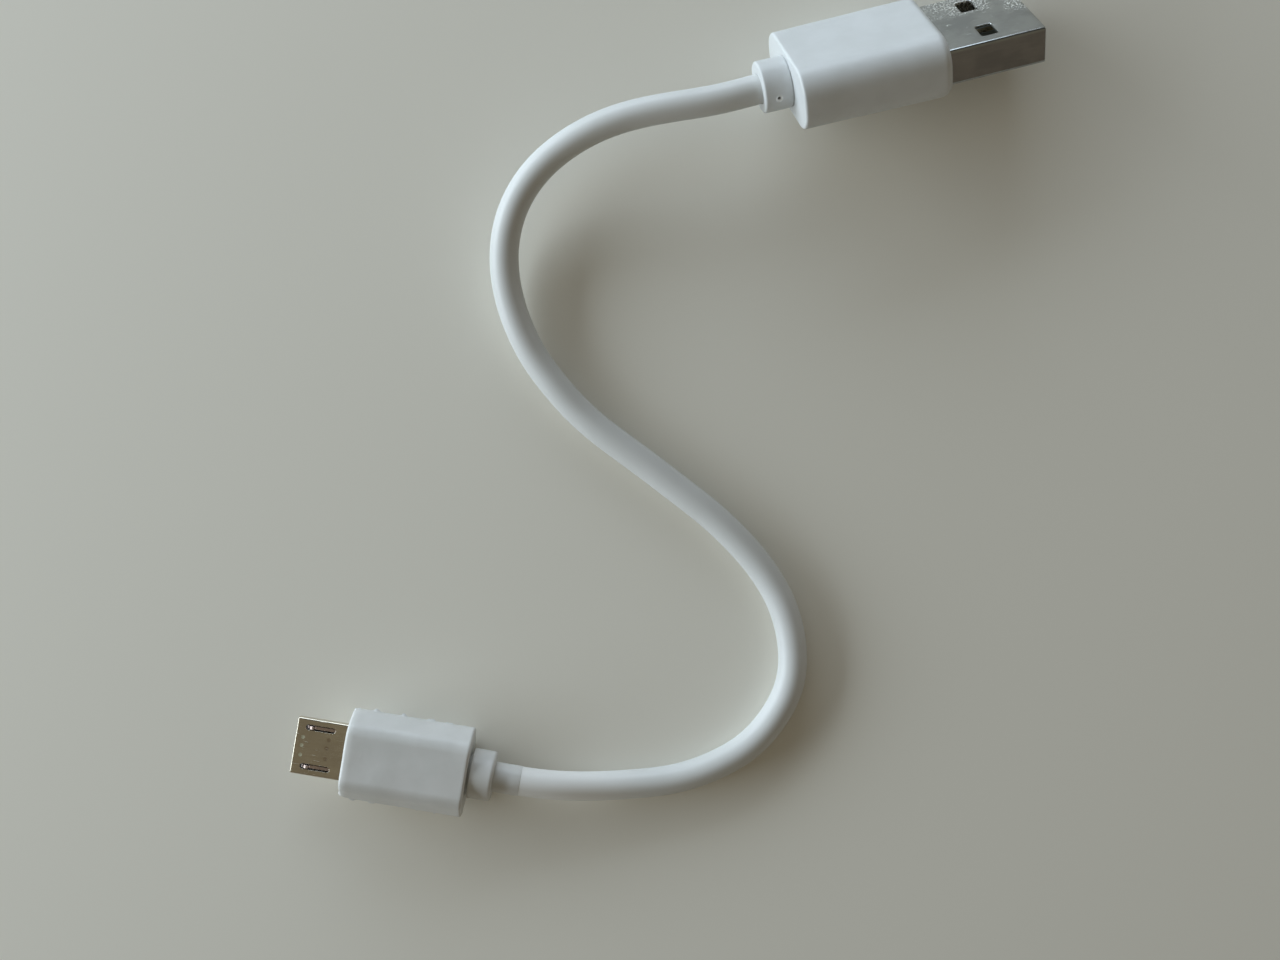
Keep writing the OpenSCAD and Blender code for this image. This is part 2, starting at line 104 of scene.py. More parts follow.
# Widths of the rounded edges that small carried-over nodes get
SOFT_EDGES = {"latch_left": 0.14, "latch_right": 0.14, "a_insulator": 0.04}

# Colours of marks: painted highlight white for the wall of the collar's mark, a painted lighter
# jacket for the light on the cable by the micro-B plug, worn plating, and pale and dark punch marks
PAINTED_HIGHLIGHT_WHITE = (0.97, 0.97, 0.97)
PAINTED_LIGHT_JACKET = (0.86, 0.86, 0.85)
WORN_STEEL = (0.86, 0.86, 0.80)
PALE_PUNCH, DARK_PUNCH = (0.52, 0.56, 0.38), (0.42, 0.33, 0.25)


# Camera

def add_camera():
    """Looks straight down on the table, from where the photograph was taken."""
    data = bpy.data.cameras.new("camera")
    data.lens, data.sensor_width, data.clip_start = CAMERA_LENS, SENSOR_W, 0.01
    camera = bpy.data.objects.new("camera", data)
    camera.location = CAMERA_AT
    bpy.context.scene.collection.objects.link(camera)
    bpy.context.scene.camera = camera


# Frames and paths

def plug_frame(exit_at, roll=0, tilt=0, yaw=0):
    """From a plug's own frame in millimetres to the row frame in metres."""
    turn = Matrix.Identity(4)
    for angle, axis in ((yaw, "Z"), (tilt, "Y"), (roll, "X")):
        turn = turn @ Matrix.Rotation(math.radians(angle), 4, axis)
    return Matrix.Translation(Vector(exit_at) * MM) @ turn @ Matrix.Scale(MM, 4)


A_FRAME = plug_frame(A_EXIT, A_ROLL, A_TILT, A_YAW)
M_FRAME = plug_frame(M_EXIT, yaw=M_YAW)


def spline(points, first, last, step):
    """Smooth curve through the points, leaving along first and arriving along last."""
    p = np.array(points, float)
    gap = np.linalg.norm(np.diff(p, axis=0), axis=1)
    count = len(p)
    lhs, rhs = np.zeros((count, count)), np.zeros((count, 3))
    lhs[0, 0] = lhs[-1, -1] = 1
    rhs[0], rhs[-1] = first, last
    for i in range(1, count - 1):
        before, after = gap[i - 1], gap[i]
        lhs[i, i - 1:i + 2] = after, 2 * (before + after), before
        rhs[i] = 3 * (after / before * (p[i] - p[i - 1]) + before / after * (p[i + 1] - p[i]))
    slope = np.linalg.solve(lhs, rhs)
    curve = [p[0]]
    for i in range(count - 1):
        turns = math.ceil(gap[i] / step)
        for t in np.arange(1, turns + 1) / turns:
            a, b = t * t * (3 - 2 * t), t * (1 - t)
            curve.append((1 - a) * p[i] + a * p[i + 1]
                         + gap[i] * b * ((1 - t) * slope[i] - t * slope[i + 1]))
    return np.array(curve)


# Sections, as points in Y and Z, evenly spaced from the +Y side round by +Z

def even(points, count):
    """Respaces a closed outline's points evenly, from where it crosses the +Y axis."""
    side = next(i for i in range(len(points))
                if points[i - 1, 1] < 0 <= points[i, 1] and points[i, 0] > 0)
    p = np.roll(points, -side, axis=0)
    start = p[-1] + (p[0] - p[-1]) * p[-1, 1] / (p[-1, 1] - p[0, 1])
    p = np.vstack([start, p, start])
    run = np.concatenate([[0], np.cumsum(np.linalg.norm(np.diff(p, axis=0), axis=1))])
    at = np.linspace(0, run[-1], count, endpoint=False)
    return np.column_stack([np.interp(at, run, p[:, k]) for k in (0, 1)])


def outline(corners, r, count=SIDES):
    """The corners' convex shape, pushed out by r on every side."""
    a = math.tau * (np.arange(ARC_SIDES) + 0.5) / ARC_SIDES
    d = np.column_stack([np.cos(a), np.sin(a)])
    corners = np.array(corners, float)
    return even(corners[np.argmax(d @ corners.T, axis=1)] + r * d, count)


def circle(r, count=SIDES):
    a = math.tau * np.arange(count) / count
    return r * np.column_stack([np.cos(a), np.sin(a)])


def rounded(w, h, r, count=SIDES):
    """Rectangle with rounded corners."""
    y, z = w / 2 - r, h / 2 - r
    return outline([(y, z), (-y, z), (-y, -z), (y, -z)], r, count)


def a_collar_section(inset=0.0):
    return circle(A_COLLAR_D / 2 - inset) + A_LEAN


def a_body_section(x, inset=0):
    """Flares a little to the front, and leans off the plug's axis towards the rear."""
    forward = (x - A_BODY_X) / (A_FRONT_X - A_BODY_X)
    w, t = A_BODY_W + A_FLARE * forward, A_BODY_T + A_FLARE / 2 * forward
    lean = A_LEAN * (1 - forward * 2 / 3)
    return rounded(w - 2 * inset, t - 2 * inset, A_EDGE_R - inset) + lean


def m_collar_section(inset=0.0):
    return circle(M_COLLAR_D / 2 - inset)


def m_body_section(inset=0):
    """Flat above and below, with two sloping faces on each side and rounded ridges between."""
    turns = [math.radians(a) for a in range(30, 91, 6)]
    y0, z0 = M_FLAT_W / 2 - M_RIDGE_IN, M_BODY_T / 2 - M_EDGE_R - M_RIDGE_R
    ridge = [(y0 + M_RIDGE_R * math.cos(a), z0 + M_RIDGE_R * math.sin(a)) for a in turns]
    side = [(M_BODY_W / 2 - M_EDGE_R, M_SIDE_Z), *ridge]
    corners = [(s * y, t * z) for s in (1, -1) for t in (1, -1) for y, z in side]
    return outline(corners, M_EDGE_R - inset)


def m_shell_section(inset=0):
    """Flat above, with chamfers between its sides and its narrower under face."""
    w, t, u = M_SHELL_W / 2 - M_SHELL_R, M_SHELL_T / 2 - M_SHELL_R, M_UNDER_W / 2
    corners = [(w, t), (-w, t), (-w, M_CHAMFER_Z), (-u, -t), (u, -t), (w, M_CHAMFER_Z)]
    return outline(corners, M_SHELL_R - inset)


# Meshes

def edge(x, way, r, steps=6):
    """(x, inset) places along a rounded edge, from the end face inwards."""
    turn = [math.pi / 2 * i / steps for i in range(steps + 1)]
    return [(x + way * r * (1 - math.cos(a)), r * (1 - math.sin(a))) for a in turn]


def bevel(x, way, arcs):
    """As edge, from the side face to the end face, with arcs of (radius, degrees turned)."""
    out, deep, angle, places = 0.0, 0.0, 0.0, [(0.0, 0.0)]
    for r, turn in arcs:
        for _ in range(4):
            after = angle + math.radians(turn) / 4
            out += r * (math.sin(after) - math.sin(angle))
            deep += r * (math.cos(angle) - math.cos(after))
            angle = after
            places.append((out, deep))
    return [(x + way * (out - o), d) for o, d in places]


def inset_along(places, section):
    """Stations with the section set in as the (x, inset) places say."""
    return [(x, section(inset)) for x, inset in places]


def stack(stations, step):
    """Rings through the (x, section) stations, with more where two are over a step apart."""
    at = [np.column_stack([np.full(len(s), x), s]) for x, s in stations]
    rings = [at[0]]
    for a, b in zip(at, at[1:]):
        parts = max(1, math.ceil(np.linalg.norm(b - a, axis=1).max() / step))
        rings += [a + (b - a) * i / parts for i in range(1, parts + 1)]
    return np.array(rings)


def skin(name, rings, closed=True):
    """One mesh over the rings. Closed rings run round to the first, others get flat ends."""
    count, sides = rings.shape[:2]
    spans = count if closed else count - 1
    i, k = np.meshgrid(np.arange(spans), np.arange(sides), indexing="ij")
    i2, k2 = (i + 1) % count, (k + 1) % sides
    corners = [i * sides + k, i2 * sides + k, i2 * sides + k2, i * sides + k2]
    faces = np.stack(corners, -1).reshape(-1, 4).tolist()
    if not closed:
        faces += [list(range(sides)), list(range((count - 1) * sides, count * sides))]
    mesh = bpy.data.meshes.new(name)
    mesh.from_pydata(rings.reshape(-1, 3).tolist(), [], faces)
    work = bmesh.new()
    work.from_mesh(mesh)
    bmesh.ops.recalc_face_normals(work, faces=work.faces)
    work.to_mesh(mesh)
    work.free()
    return mesh


def linked(mesh):
    """Object of the mesh's name, in the scene."""
    made = bpy.data.objects.new(mesh.name, mesh)
    bpy.context.scene.collection.objects.link(made)
    return made


def cut(mesh, cutters):
    """The mesh less the cutters, which are meshes in the same frame. The old mesh is removed."""
    body = linked(mesh)
    tools = [linked(c) for c in cutters]
    for tool in tools:
        step = body.modifiers.new("cut", "BOOLEAN")
        step.operation, step.solver, step.object = "DIFFERENCE", "EXACT", tool
    bpy.context.view_layer.update()
    evaluated = body.evaluated_get(bpy.context.evaluated_depsgraph_get())
    result = bpy.data.meshes.new_from_object(evaluated)
    name = mesh.name
    for o in [body, *tools]:
        bpy.data.objects.remove(o)
    bpy.data.meshes.remove(mesh)
    result.name = name
    return result


def punch(at, section, face, lip, through=6):
    """Cutter for a hole punched through both faces of a flat shell, with a rounded lip outside."""
    x, y = at
    quarter = [math.pi / 2 * i / 4 for i in range(5)]
    rise = [(face - lip * (1 - math.sin(a)), lip * (1 - math.cos(a))) for a in quarter]
    rise.append((through, lip))
    heights = [(-z, e) for z, e in reversed(rise)] + rise
    rings = []
    for z, e in heights:
        s = section(e)
        rings.append(np.column_stack([x + s[:, 0], y + s[:, 1], np.full(len(s), z)]))
    return skin("cutter", np.array(rings), closed=False)


def box_cutter(x0, x1, y0, y1, z0, z1):
    square = np.array([(y1, z0), (y1, z1), (y0, z1), (y0, z0)])
    return skin("cutter", stack([(x0, square), (x1, square)], step=math.inf), closed=False)


def seam_cutter(shell_x, tip_x, w, low):
    """Cutter for the seam of a folded shell, along the middle of its under face."""
    return box_cutter(shell_x - 1, tip_x + 1, -w / 2, w / 2, low, 0)


def points_of(mesh, what="co"):
    values = np.zeros(len(mesh.vertices) * 3)
    mesh.vertices.foreach_get(what, values)
    return values.reshape(-1, 3)


def store_highlight_and_punch_tone(mesh, values):
    """Tells the look the tone painted at each point: on the USB-A collar a painted highlight on its
    mark's wall, on the micro-B shell the punch marks, below 0 where they are dark.
    """
    made = mesh.attributes.new("painted_highlight_and_punch_tone", "FLOAT", "POINT")
    made.data.foreach_set("value", values.ravel())


def soften(mesh, size, depth, shift=0.0):
    """Moves the surface in and out by smooth noise, as moulded plastic does. At the cable, which
    the grip has to meet, it stays, and the noise fades in over the first 1.5 mm."""
    co, out = points_of(mesh), points_of(mesh, "normal")
    move = np.array([noise.noise(Vector(p / size + shift)) for p in co])
    move *= np.clip(co[:, 0] / 1.5, 0, 1)
    mesh.vertices.foreach_set("co", (co + out * depth * move[:, None]).ravel())


def piece(mesh, to_row, look, replaces=()):
    """Lays a mesh in the row frame as a piece on the root body. For the look it keeps its own
    millimetres."""
    own = mesh.attributes.new("own_mm", "FLOAT_VECTOR", "POINT")
    own.data.foreach_set("vector", points_of(mesh).ravel())
    mesh.transform(to_row)
    mesh.shade_smooth()
    mesh.set_sharp_from_angle(angle=CREASE)
    mesh.materials.clear()
    mesh.materials.append(look)
    made = linked(mesh)
    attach(made, ROOT)
    if replaces:
        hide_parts(*replaces)
    return made


# Looks

class Nodes:
    """Adds nodes to a material's or the world's tree."""

    def __init__(self, tree):
        self.tree = tree

    def add(self, kind, inputs, **settings):
        made = self.tree.nodes.new(kind)
        for key, value in settings.items():
            setattr(made, key, value)
        for key, value in inputs.items():
            if isinstance(value, bpy.types.NodeSocket):
                self.tree.links.new(value, made.inputs[key])
            else:
                made.inputs[key].default_value = value
        return made

    def math(self, operation, *values):
        inputs = dict(enumerate(values))
        return self.add("ShaderNodeMath", inputs, operation=operation).outputs[0]

    def product(self, a, b):
        return self.math("MULTIPLY", a, b)

    def larger(self, a, b):
        return self.math("MAXIMUM", a, b)

    def away(self, value, centre):
        """How far the value is from the centre."""
        return self.math("ABSOLUTE", self.math("SUBTRACT", value, centre))

    def ramp(self, value, low, high, to_low=0.0, to_high=1.0):
        """Smooth step from one value at low to another at high."""
        inputs = {0: value, 1: low, 2: high, 3: to_low, 4: to_high}
        made = self.add("ShaderNodeMapRange", inputs, interpolation_type="SMOOTHSTEP")
        return made.outputs[0]

    def mix(self, share, a, b):
        """Colour between a and b, each a socket or three numbers."""
        a, b = (c if isinstance(c, bpy.types.NodeSocket) else (*c, 1) for c in (a, b))
        return self.add("ShaderNodeMix", {0: share, 6: a, 7: b}, data_type="RGBA").outputs[2]


class Look(Nodes):
    """Builds one material whose patterns are sized in millimetres."""

    def __init__(self, name, carried=False, **constants):
        self.material = bpy.data.materials.new(name)
        self.material.use_nodes = True
        super().__init__(self.material.node_tree)
        self.shader = self.tree.nodes["Principled BSDF"]
        for socket, value in constants.items():
            self.shader.inputs[socket].default_value = value
        if carried:
            where = self.add("ShaderNodeTexCoord", {}).outputs["Object"]
            scaled = self.add("ShaderNodeVectorMath", {0: where, "Scale": 1 / MM},
                              operation="SCALE")
            self.mm = scaled.outputs[0]
        else:
            found = self.add("ShaderNodeAttribute", {}, attribute_name="own_mm")
            self.mm = found.outputs["Vector"]

    def noise(self, scale, stretch=(1, 1, 1), turn=0.0, detail=4.0, rough=0.55):
        """Noise from 0 to 1, scale times a millimetre, finer along the stretched axes."""
        placed = {0: self.mm, 2: (0, 0, math.radians(turn)), 3: stretch}
        mapped = self.add("ShaderNodeMapping", placed).outputs[0]
        inputs = {"Vector": mapped, "Scale": scale, "Detail": detail, "Roughness": rough}
        return self.add("ShaderNodeTexNoise", inputs).outputs[0]

    def cloudy(self, scale, dark, light):
        """Colour that drifts between dark and light."""
        return self.mix(self.ramp(self.noise(scale, detail=3), 0.3, 0.7), dark, light)

    def axes(self):
        return self.add("ShaderNodeSeparateXYZ", {0: self.mm}).outputs

    def painted_highlight_and_punch_tone(self):
        """The tone stored on the mesh: a painted highlight on the wall of the USB-A collar's mark,
        and the micro-B shell's punch marks.
        """
        return self.add("ShaderNodeAttribute", {}, attribute_name="painted_highlight_and_punch_tone").outputs["Fac"]

    def bump(self, height, depth, below=None):
        """Relief of that depth in millimetres, on top of what is below."""
        inputs = {"Height": height, "Distance": depth * MM, "Strength": 1.0}
        if below is not None:
            inputs["Normal"] = below
        return self.add("ShaderNodeBump", inputs).outputs[0]

    def finish(self, colour=None, roughness=None, normal=None):
        for socket, value in (("Base Color", colour), ("Roughness", roughness), ("Normal", normal)):
            if value is not None:
                self.tree.links.new(value, self.shader.inputs[socket])
        return self.material


def moulded(name, light, dark, roughness, carried=False, grain=0.004):
    """Moulded PVC: a little uneven in colour and gloss, with a fine grain."""
    look = Look(name, carried, IOR=1.5)
    colour = look.cloudy(0.25, dark, light)
    if not carried:
        # Painted highlight: near white where the mesh says so, for the light caught by the wall of
        # the collar's mark
        colour = look.mix(look.painted_highlight_and_punch_tone(), colour, PAINTED_HIGHLIGHT_WHITE)
    gloss = look.ramp(look.noise(0.8, detail=5), 0.3, 0.7, roughness - 0.05, roughness + 0.06)
    fine = look.bump(look.noise(7, detail=3), grain)
    broad = look.bump(look.noise(1.1, detail=2), 0.012, fine)
    return look.finish(colour, gloss, broad)


def jacket(name, light, dark):
    """Extruded jacket: satin, drawn out along its length, and painted lighter next to the micro-B
    plug, standing for the light that falls on it there.
    """
    look = Look(name, IOR=1.5)
    colour = look.cloudy(0.12, dark, light)
    # Painted light: lighter over the last stretch before the micro-B plug, for the light on the
    # cable there
    colour = look.mix(look.ramp(look.axes()[0], 125, 137), colour, PAINTED_LIGHT_JACKET)
    gloss = look.ramp(look.noise(0.5, stretch=(0.4, 2, 2), detail=4), 0.3, 0.7, 0.36, 0.48)
    drawn = look.bump(look.noise(1.6, stretch=(0.15, 1, 1), detail=3), 0.006)
    fine = look.bump(look.noise(8, detail=2), 0.002, drawn)
    return look.finish(colour, gloss, fine)


def sheet_steel(name, light, dark, roughness, wear):
    """Plated sheet: cloudy, faintly brushed along the plug, and pale where wear says or where
    something has streaked it. Pale marks are less metallic."""
    look = Look(name, Metallic=1.0)
    cloud = look.noise(0.3, detail=3)
    brushed = look.noise(1.4, stretch=(0.5, 9, 9), detail=5)
    tone = look.math("ADD", look.product(cloud, 0.65), look.product(brushed, 0.35))
    colour = look.mix(look.ramp(tone, 0.38, 0.62), dark, light)
    specks = look.ramp(look.noise(3.6, detail=6, rough=0.8), 0.51, 0.55)
    streaks = look.ramp(look.noise(0.9, stretch=(0.6, 9, 1), turn=-14, detail=2), 0.69, 0.73)
    marks = look.larger(wear(look, specks), look.product(streaks, 0.6))
    colour = look.mix(marks, colour, WORN_STEEL)
    painted_highlight_and_punch_tone = look.painted_highlight_and_punch_tone()
    pale = look.ramp(painted_highlight_and_punch_tone, 0.1, 0.9, 0, 0.55)
    colour = look.mix(pale, colour, PALE_PUNCH)
    colour = look.mix(look.ramp(painted_highlight_and_punch_tone, -0.1, -0.8, 0, 0.6), colour, DARK_PUNCH)
    gloss = look.ramp(brushed, 0.35, 0.65, roughness - 0.04, roughness + 0.05)
    gloss = look.math("ADD", gloss, look.product(marks, 0.3))
    metal = look.ramp(look.larger(marks, pale), 0, 1, 1, 0.1)
    look.tree.links.new(metal, look.shader.inputs["Metallic"])
    grain = look.bump(brushed, 0.0006)
    dents = look.bump(cloud, 0.008, grain)
    scuffs = look.bump(marks, 0.006, dents)
    return look.finish(colour, gloss, scuffs)


def a_wear(look, specks):
    """The USB-A shell is scuffed round its far window and at its tip, with one scratch. It is a
    little pale below its top face, as on the sheared walls of its windows."""
    x, y, z = look.axes()
    far = look.product(look.ramp(y, 0.7, 2.2), look.ramp(x, 30.5, 28.5))
    far = look.product(far, look.ramp(x, 20.5, 24.5, 0.45, 1))
    tip = look.product(look.ramp(x, 29.8, 30.8), look.ramp(y, -1.6, 0.4))
    patchy = look.ramp(look.noise(0.35, detail=2), 0.36, 0.56, 0.3, 1)
    scuffed = look.product(look.larger(far, tip), patchy)
    along, across = look.away(x, A_SCRATCH_AT[0]), look.away(y, A_SCRATCH_AT[1])
    scratch = look.product(look.ramp(along, 0.45, 0.3), look.ramp(across, 0.2, 0.08))
    worn = look.product(specks, look.larger(scuffed, scratch))
    # Out to just short of the windows' outer ends, so that the shell's sides stay as they are
    top = A_SHELL_T / 2
    below = look.ramp(z, top - 0.03, top - 0.12)
    inward = look.ramp(look.away(y, 0), 4.35, 4.15)
    return look.larger(worn, look.product(look.product(below, inward), 0.25))


def m_wear(look, specks):
    """The micro-B shell has faint specks all over."""
    return look.product(specks, look.ramp(look.noise(0.5, detail=2), 0.55, 0.75, 0.0, 0.12))


def carried_plastic(name, colour, roughness):
    """Plain plastic of a carried-over node."""
    light = tuple(c * 1.08 for c in colour)
    dark = tuple(c * 0.88 for c in colour)
    return moulded(name, light, dark, roughness, carried=True, grain=0.003)


def carried_metal(name, colour, roughness):
    """Plain metal of a carried-over node, a little cloudy and rubbed."""
    look = Look(name, carried=True, Metallic=1.0)
    dark = tuple(c * 0.8 for c in colour)
    tone = look.mix(look.ramp(look.noise(1.2, detail=4), 0.35, 0.65), dark, colour)
    gloss = look.ramp(look.noise(3, detail=4), 0.3, 0.7, roughness - 0.06, roughness + 0.08)
    return look.finish(tone, gloss, look.bump(look.noise(9, detail=3), 0.002))


# Cable

def add_cable(look):
    """Round tube along the route. In its own_mm, X is the length run from the USB-A plug."""
    along = -(A_FRAME.to_3x3() @ Vector((1, 0, 0))).normalized()
    arrive = (M_FRAME.to_3x3() @ Vector((1, 0, 0))).normalized()
    path = spline(ROUTE, along, arrive, step=0.4)
    rings, own, run = [], [], 0.0
    ring = circle(JACKET_D / 2, CABLE_SIDES)
    for i, centre in enumerate(path):
        if i == 0 or i == len(path) - 1:
            way = np.array(along if i == 0 else arrive)
        else:
            way = path[i + 1] - path[i - 1]
        way = way / np.linalg.norm(way)
        side = np.cross((0, 0, 1), way)
        side = side / np.linalg.norm(side)
        up = np.cross(way, side)
        run += np.linalg.norm(centre - path[i - 1]) if i else 0.0
        rings.append(centre + ring[:, :1] * side + ring[:, 1:] * up)
        own.append(np.column_stack([np.full(CABLE_SIDES, run), ring]))
    mesh = skin("white_cable", np.array(rings), closed=False)
    cable = piece(mesh, Matrix.Scale(MM, 4), look, ["cable"])
    mesh.attributes["own_mm"].data.foreach_set("vector", np.array(own).ravel())


# USB-A plug

def a_grip(look):
    """One skin over the collar and the body, in at the mouth and back through the hollow."""
    def mouth(e):
        gap = 0.05 + e
        return rounded(A_SHELL_W + 2 * gap, A_SHELL_T + 2 * gap, A_SHELL_R + gap)

    def body(places):
        return [(x, a_body_section(x, e)) for x, e in places]

    bore = circle(BORE_R)
    block = rounded(A_MOULD_W, A_MOULD_T, 1)
    stations = [(A_MOULD_X[0], bore), (0, bore), (A_REAR_X, circle(JACKET_D / 2 + 0.1))]
    stations += inset_along(edge(A_REAR_X, 1, A_COLLAR_RIM_R), a_collar_section)
    # Closer rings, for the mark in the collar
    stations += [(x, a_collar_section()) for x in np.arange(0.9, 2.05, 0.045)]
    stations += inset_along(edge(A_BODY_X - 0.1, -1, 0.1)[::-1], a_collar_section)
    stations += [(A_BODY_X, a_collar_section(0.12))]
    stations += body(edge(A_BODY_X, 1, A_REAR_R)) + body(edge(A_FRONT_X, -1, A_FRONT_R, 8)[::-1])
    stations += [(A_FRONT_X - e, mouth(A_MOUTH_R - x)) for x, e in edge(0, 1, A_MOUTH_R, 4)][::-1]
    stations += [(A_MOULD_X[1], mouth(0)), (A_MOULD_X[1], block), (A_MOULD_X[0], block)]
    stations += [(A_MOULD_X[0], bore)]
    rings = stack(stations, 0.3)[:-1]
    # The mark's wall gets a painted highlight in the look
    wall = press_mark(rings)
    mesh = skin("usb_a_grip", rings)
    store_highlight_and_punch_tone(mesh, wall)
    soften(mesh, 4.5, 0.035)
    piece(mesh, A_FRAME, look, ["a_overmould"])


def press_mark(rings):
    """Presses the round moulding mark into the collar. What it gives is 1 at the mark's wall, which
    the look paints near white as a painted highlight.
    """
    y, z = rings[..., 1] - A_LEAN, rings[..., 2] - A_LEAN
    out = np.hypot(y, z)
    turn = (np.arctan2(z, y) - math.radians(A_MARK_AT[1]) + math.pi) % math.tau - math.pi
    away = np.hypot(rings[..., 0] - A_MARK_AT[0], turn * out)
    outside = (out > A_COLLAR_D / 2 - 0.01) & (rings[..., 0] < A_BODY_X)
    t = np.clip((A_MARK_R - away) / A_MARK_WALL, 0, 1)
    drop = np.where(outside, A_MARK_DEPTH * t * t * (3 - 2 * t), 0) / out
    rings[..., 1] -= drop * y
    rings[..., 2] -= drop * z
    half = A_MARK_WALL / 2
    return np.where(outside, np.exp(-((away - A_MARK_R + half) / half) ** 2), 0)


def a_painted_shade_dot(look):
    """Dark domed dot in the middle of the moulding mark: painted shade, standing for the shadow in
    the mark's pin hole.
    """
    collar, (x, turn) = A_COLLAR_D / 2, A_MARK_AT
    rings = []
    for lift in (math.pi / 2 * i / 6 - 0.2 for i in range(6)):
        out = collar - A_DOT_DEPTH + A_DOT_DOME * math.sin(lift)
        wide = A_DOT_R * math.cos(lift)
        ring = []
        for u in (math.tau * i / 24 for i in range(24)):
            angle = math.radians(turn) + wide * math.sin(u) / collar
            ring.append((x + wide * math.cos(u), A_LEAN + out * math.cos(angle),
                         A_LEAN + out * math.sin(angle)))
        rings.append(ring)
    piece(skin("collar_painted_shade_dot", np.array(rings), closed=False), A_FRAME, look)


def a_shell(look):
    """Folded sheet with rounded lips, two windows through both faces and a seam below."""
    def outside(e):
        return rounded(A_SHELL_W - 2 * e, A_SHELL_T - 2 * e, A_SHELL_R - e)

    def window(e):
        return rounded(A_WINDOW[0] + 2 * e, A_WINDOW[1] + 2 * e, A_WINDOW_R + e, HOLE_SIDES)

    lip = edge(A_TIP_X, -1, 0.12, 4)
    stations = [(A_SHELL_X, outside(0)), *inset_along(lip[::-1], outside)]
    stations += [(x, outside(A_SHEET - e * 0.6)) for x, e in lip]
    stations += [(A_SHELL_X, outside(A_SHEET)), (A_SHELL_X, outside(0))]
    mesh = skin("usb_a_shell", stack(stations, 0.5)[:-1])
    x, y = A_WINDOW_AT
    cutters = [punch((x, s * y), window, A_SHELL_T / 2, A_WINDOW_LIP) for s in (-1, 1)]
    cutters.append(seam_cutter(A_SHELL_X, A_TIP_X, 0.08, -3))
    piece(cut(mesh, cutters), A_FRAME, look, ["a_shell"])


# Micro-B plug

def m_grip(look):
    """One skin over the sleeve, the collar and the body, in at the mouth and back inside."""
    bore, waist = circle(BORE_R), circle(M_WAIST_D / 2)
    block = rounded(M_MOULD_W, M_MOULD_T, 0.8)
    mouth = m_shell_section(-0.03)
    front = bevel(M_FRONT_X, -1, [(3, 12), (0.5, 40), (0.2, 38)])
    stations = [(M_MOULD_X[0], bore), (0, bore), (-0.12, circle(JACKET_D / 2 + 0.005))]
    stations += [(-0.1, circle(JACKET_D / 2 + 0.03)), (0.5, circle(M_SLEEVE_D / 2))]
    stations += [(M_NECK_X, circle(M_SLEEVE_D / 2))]
    stations += inset_along(edge(M_NECK_X, 1, 0.4), m_collar_section)
    stations += inset_along(edge(M_COLLAR_X, -1, 0.2)[::-1], m_collar_section)
    stations += [(M_COLLAR_X, waist), (M_BODY_X, waist)]
    stations += inset_along(edge(M_BODY_X, 1, 0.3), m_body_section)
    stations += inset_along(front, m_body_section)
    stations += [(M_FRONT_X, m_shell_section(-0.12)), (M_FRONT_X - 0.1, mouth)]
    stations += [(M_MOULD_X[1], mouth), (M_MOULD_X[1], block), (M_MOULD_X[0], block)]
    stations += [(M_MOULD_X[0], bore)]
    rings = stack(stations, 0.2)[:-1]
    add_flash(rings)
    mesh = skin("micro_b_grip", rings)
    soften(mesh, 3.2, 0.05, shift=7.3)
    piece(mesh, M_FRAME, look, ["micro_overmould"])


def add_flash(rings, half_t=0.16, base=0.05, fin=0.45, chip=0.5):
    """Ragged fin of flash along the grip's parting line on both sides, and a chip of it that
    stands out of the front edge on the near side."""
    half = M_BODY_W / 2
    for p in rings.reshape(-1, 3):
        thin = max(0.0, 1 - abs(p[2]) / half_t)
        if thin and abs(p[1]) > half - 0.4 and M_BODY_X < p[0] < M_FRONT_X:
            side = math.copysign(1, p[1])
            ragged = noise.noise(Vector((p[0] * 0.9, side * 5, 3))) + 0.5 * noise.noise(
                Vector((p[0] * 2.7, side * 9, 1)))
            p[1] += side * thin * (base + fin * max(0.0, ragged))
        if p[1] > half - 1 and M_FRONT_X - 0.3 < p[0]:
            p[0] += chip * max(0.0, 1 - abs(p[2] + 0.3) / 0.7) * min(1.0, p[1] - half + 1)


def m_shell(look):
    """Folded sheet with a rounded lip, punch marks and latch slots above, and a seam below."""
    def slot(e):
        r = M_SLOT_W / 2 + e - 0.001
        return rounded(length + 2 * e, M_SLOT_W + 2 * e, r, HOLE_SIDES)

    outside = m_shell_section
    lip = bevel(M_TIP_X, -1, [(0.1, 28), (0.12, 17), (0.12, 45)])
    stations = [(M_SHELL_X, outside(0))]
    # Closer rings, for the punch marks
    stations += [(x, outside(0)) for span in M_PUNCHED_X for x in np.arange(*span, 0.06)]
    stations += inset_along(lip, outside)
    stations += [(M_TIP_X, outside(0.22)), (M_TIP_X - 0.03, outside(M_SHEET))]
    stations += [(M_SHELL_X, outside(M_SHEET)), (M_SHELL_X, outside(0))]
    rings = stack(stations, 0.4)[:-1]
    press_punches(rings)
    mesh = skin("micro_b_shell", rings)
    length, middle = M_SLOT_X[1] - M_SLOT_X[0], sum(M_SLOT_X) / 2
    cutters = []
    for s in (-1, 1):
        tool = punch((middle, s * M_LATCH_Y), slot, M_SHELL_T / 2, M_SLOT_LIP, through=3)
        # The slots are in the upper face alone
        cutters.append(cut(tool, [box_cutter(0, 40, -9, 9, -9, 0)]))
    cutters.append(seam_cutter(M_SHELL_X, M_TIP_X, 0.06, -2))
    mesh = cut(mesh, cutters)
    x, y, z = points_of(mesh).T
    painted_highlight_and_punch_tone = sum(tone * np.exp(-(np.hypot(x - at_x, y - at_y) / 0.26) ** 4)
                  for at_x, at_y, tone in M_PUNCHES)
    store_highlight_and_punch_tone(mesh, painted_highlight_and_punch_tone * (z > 0))
    piece(mesh, M_FRAME, look, ["micro_shell"])


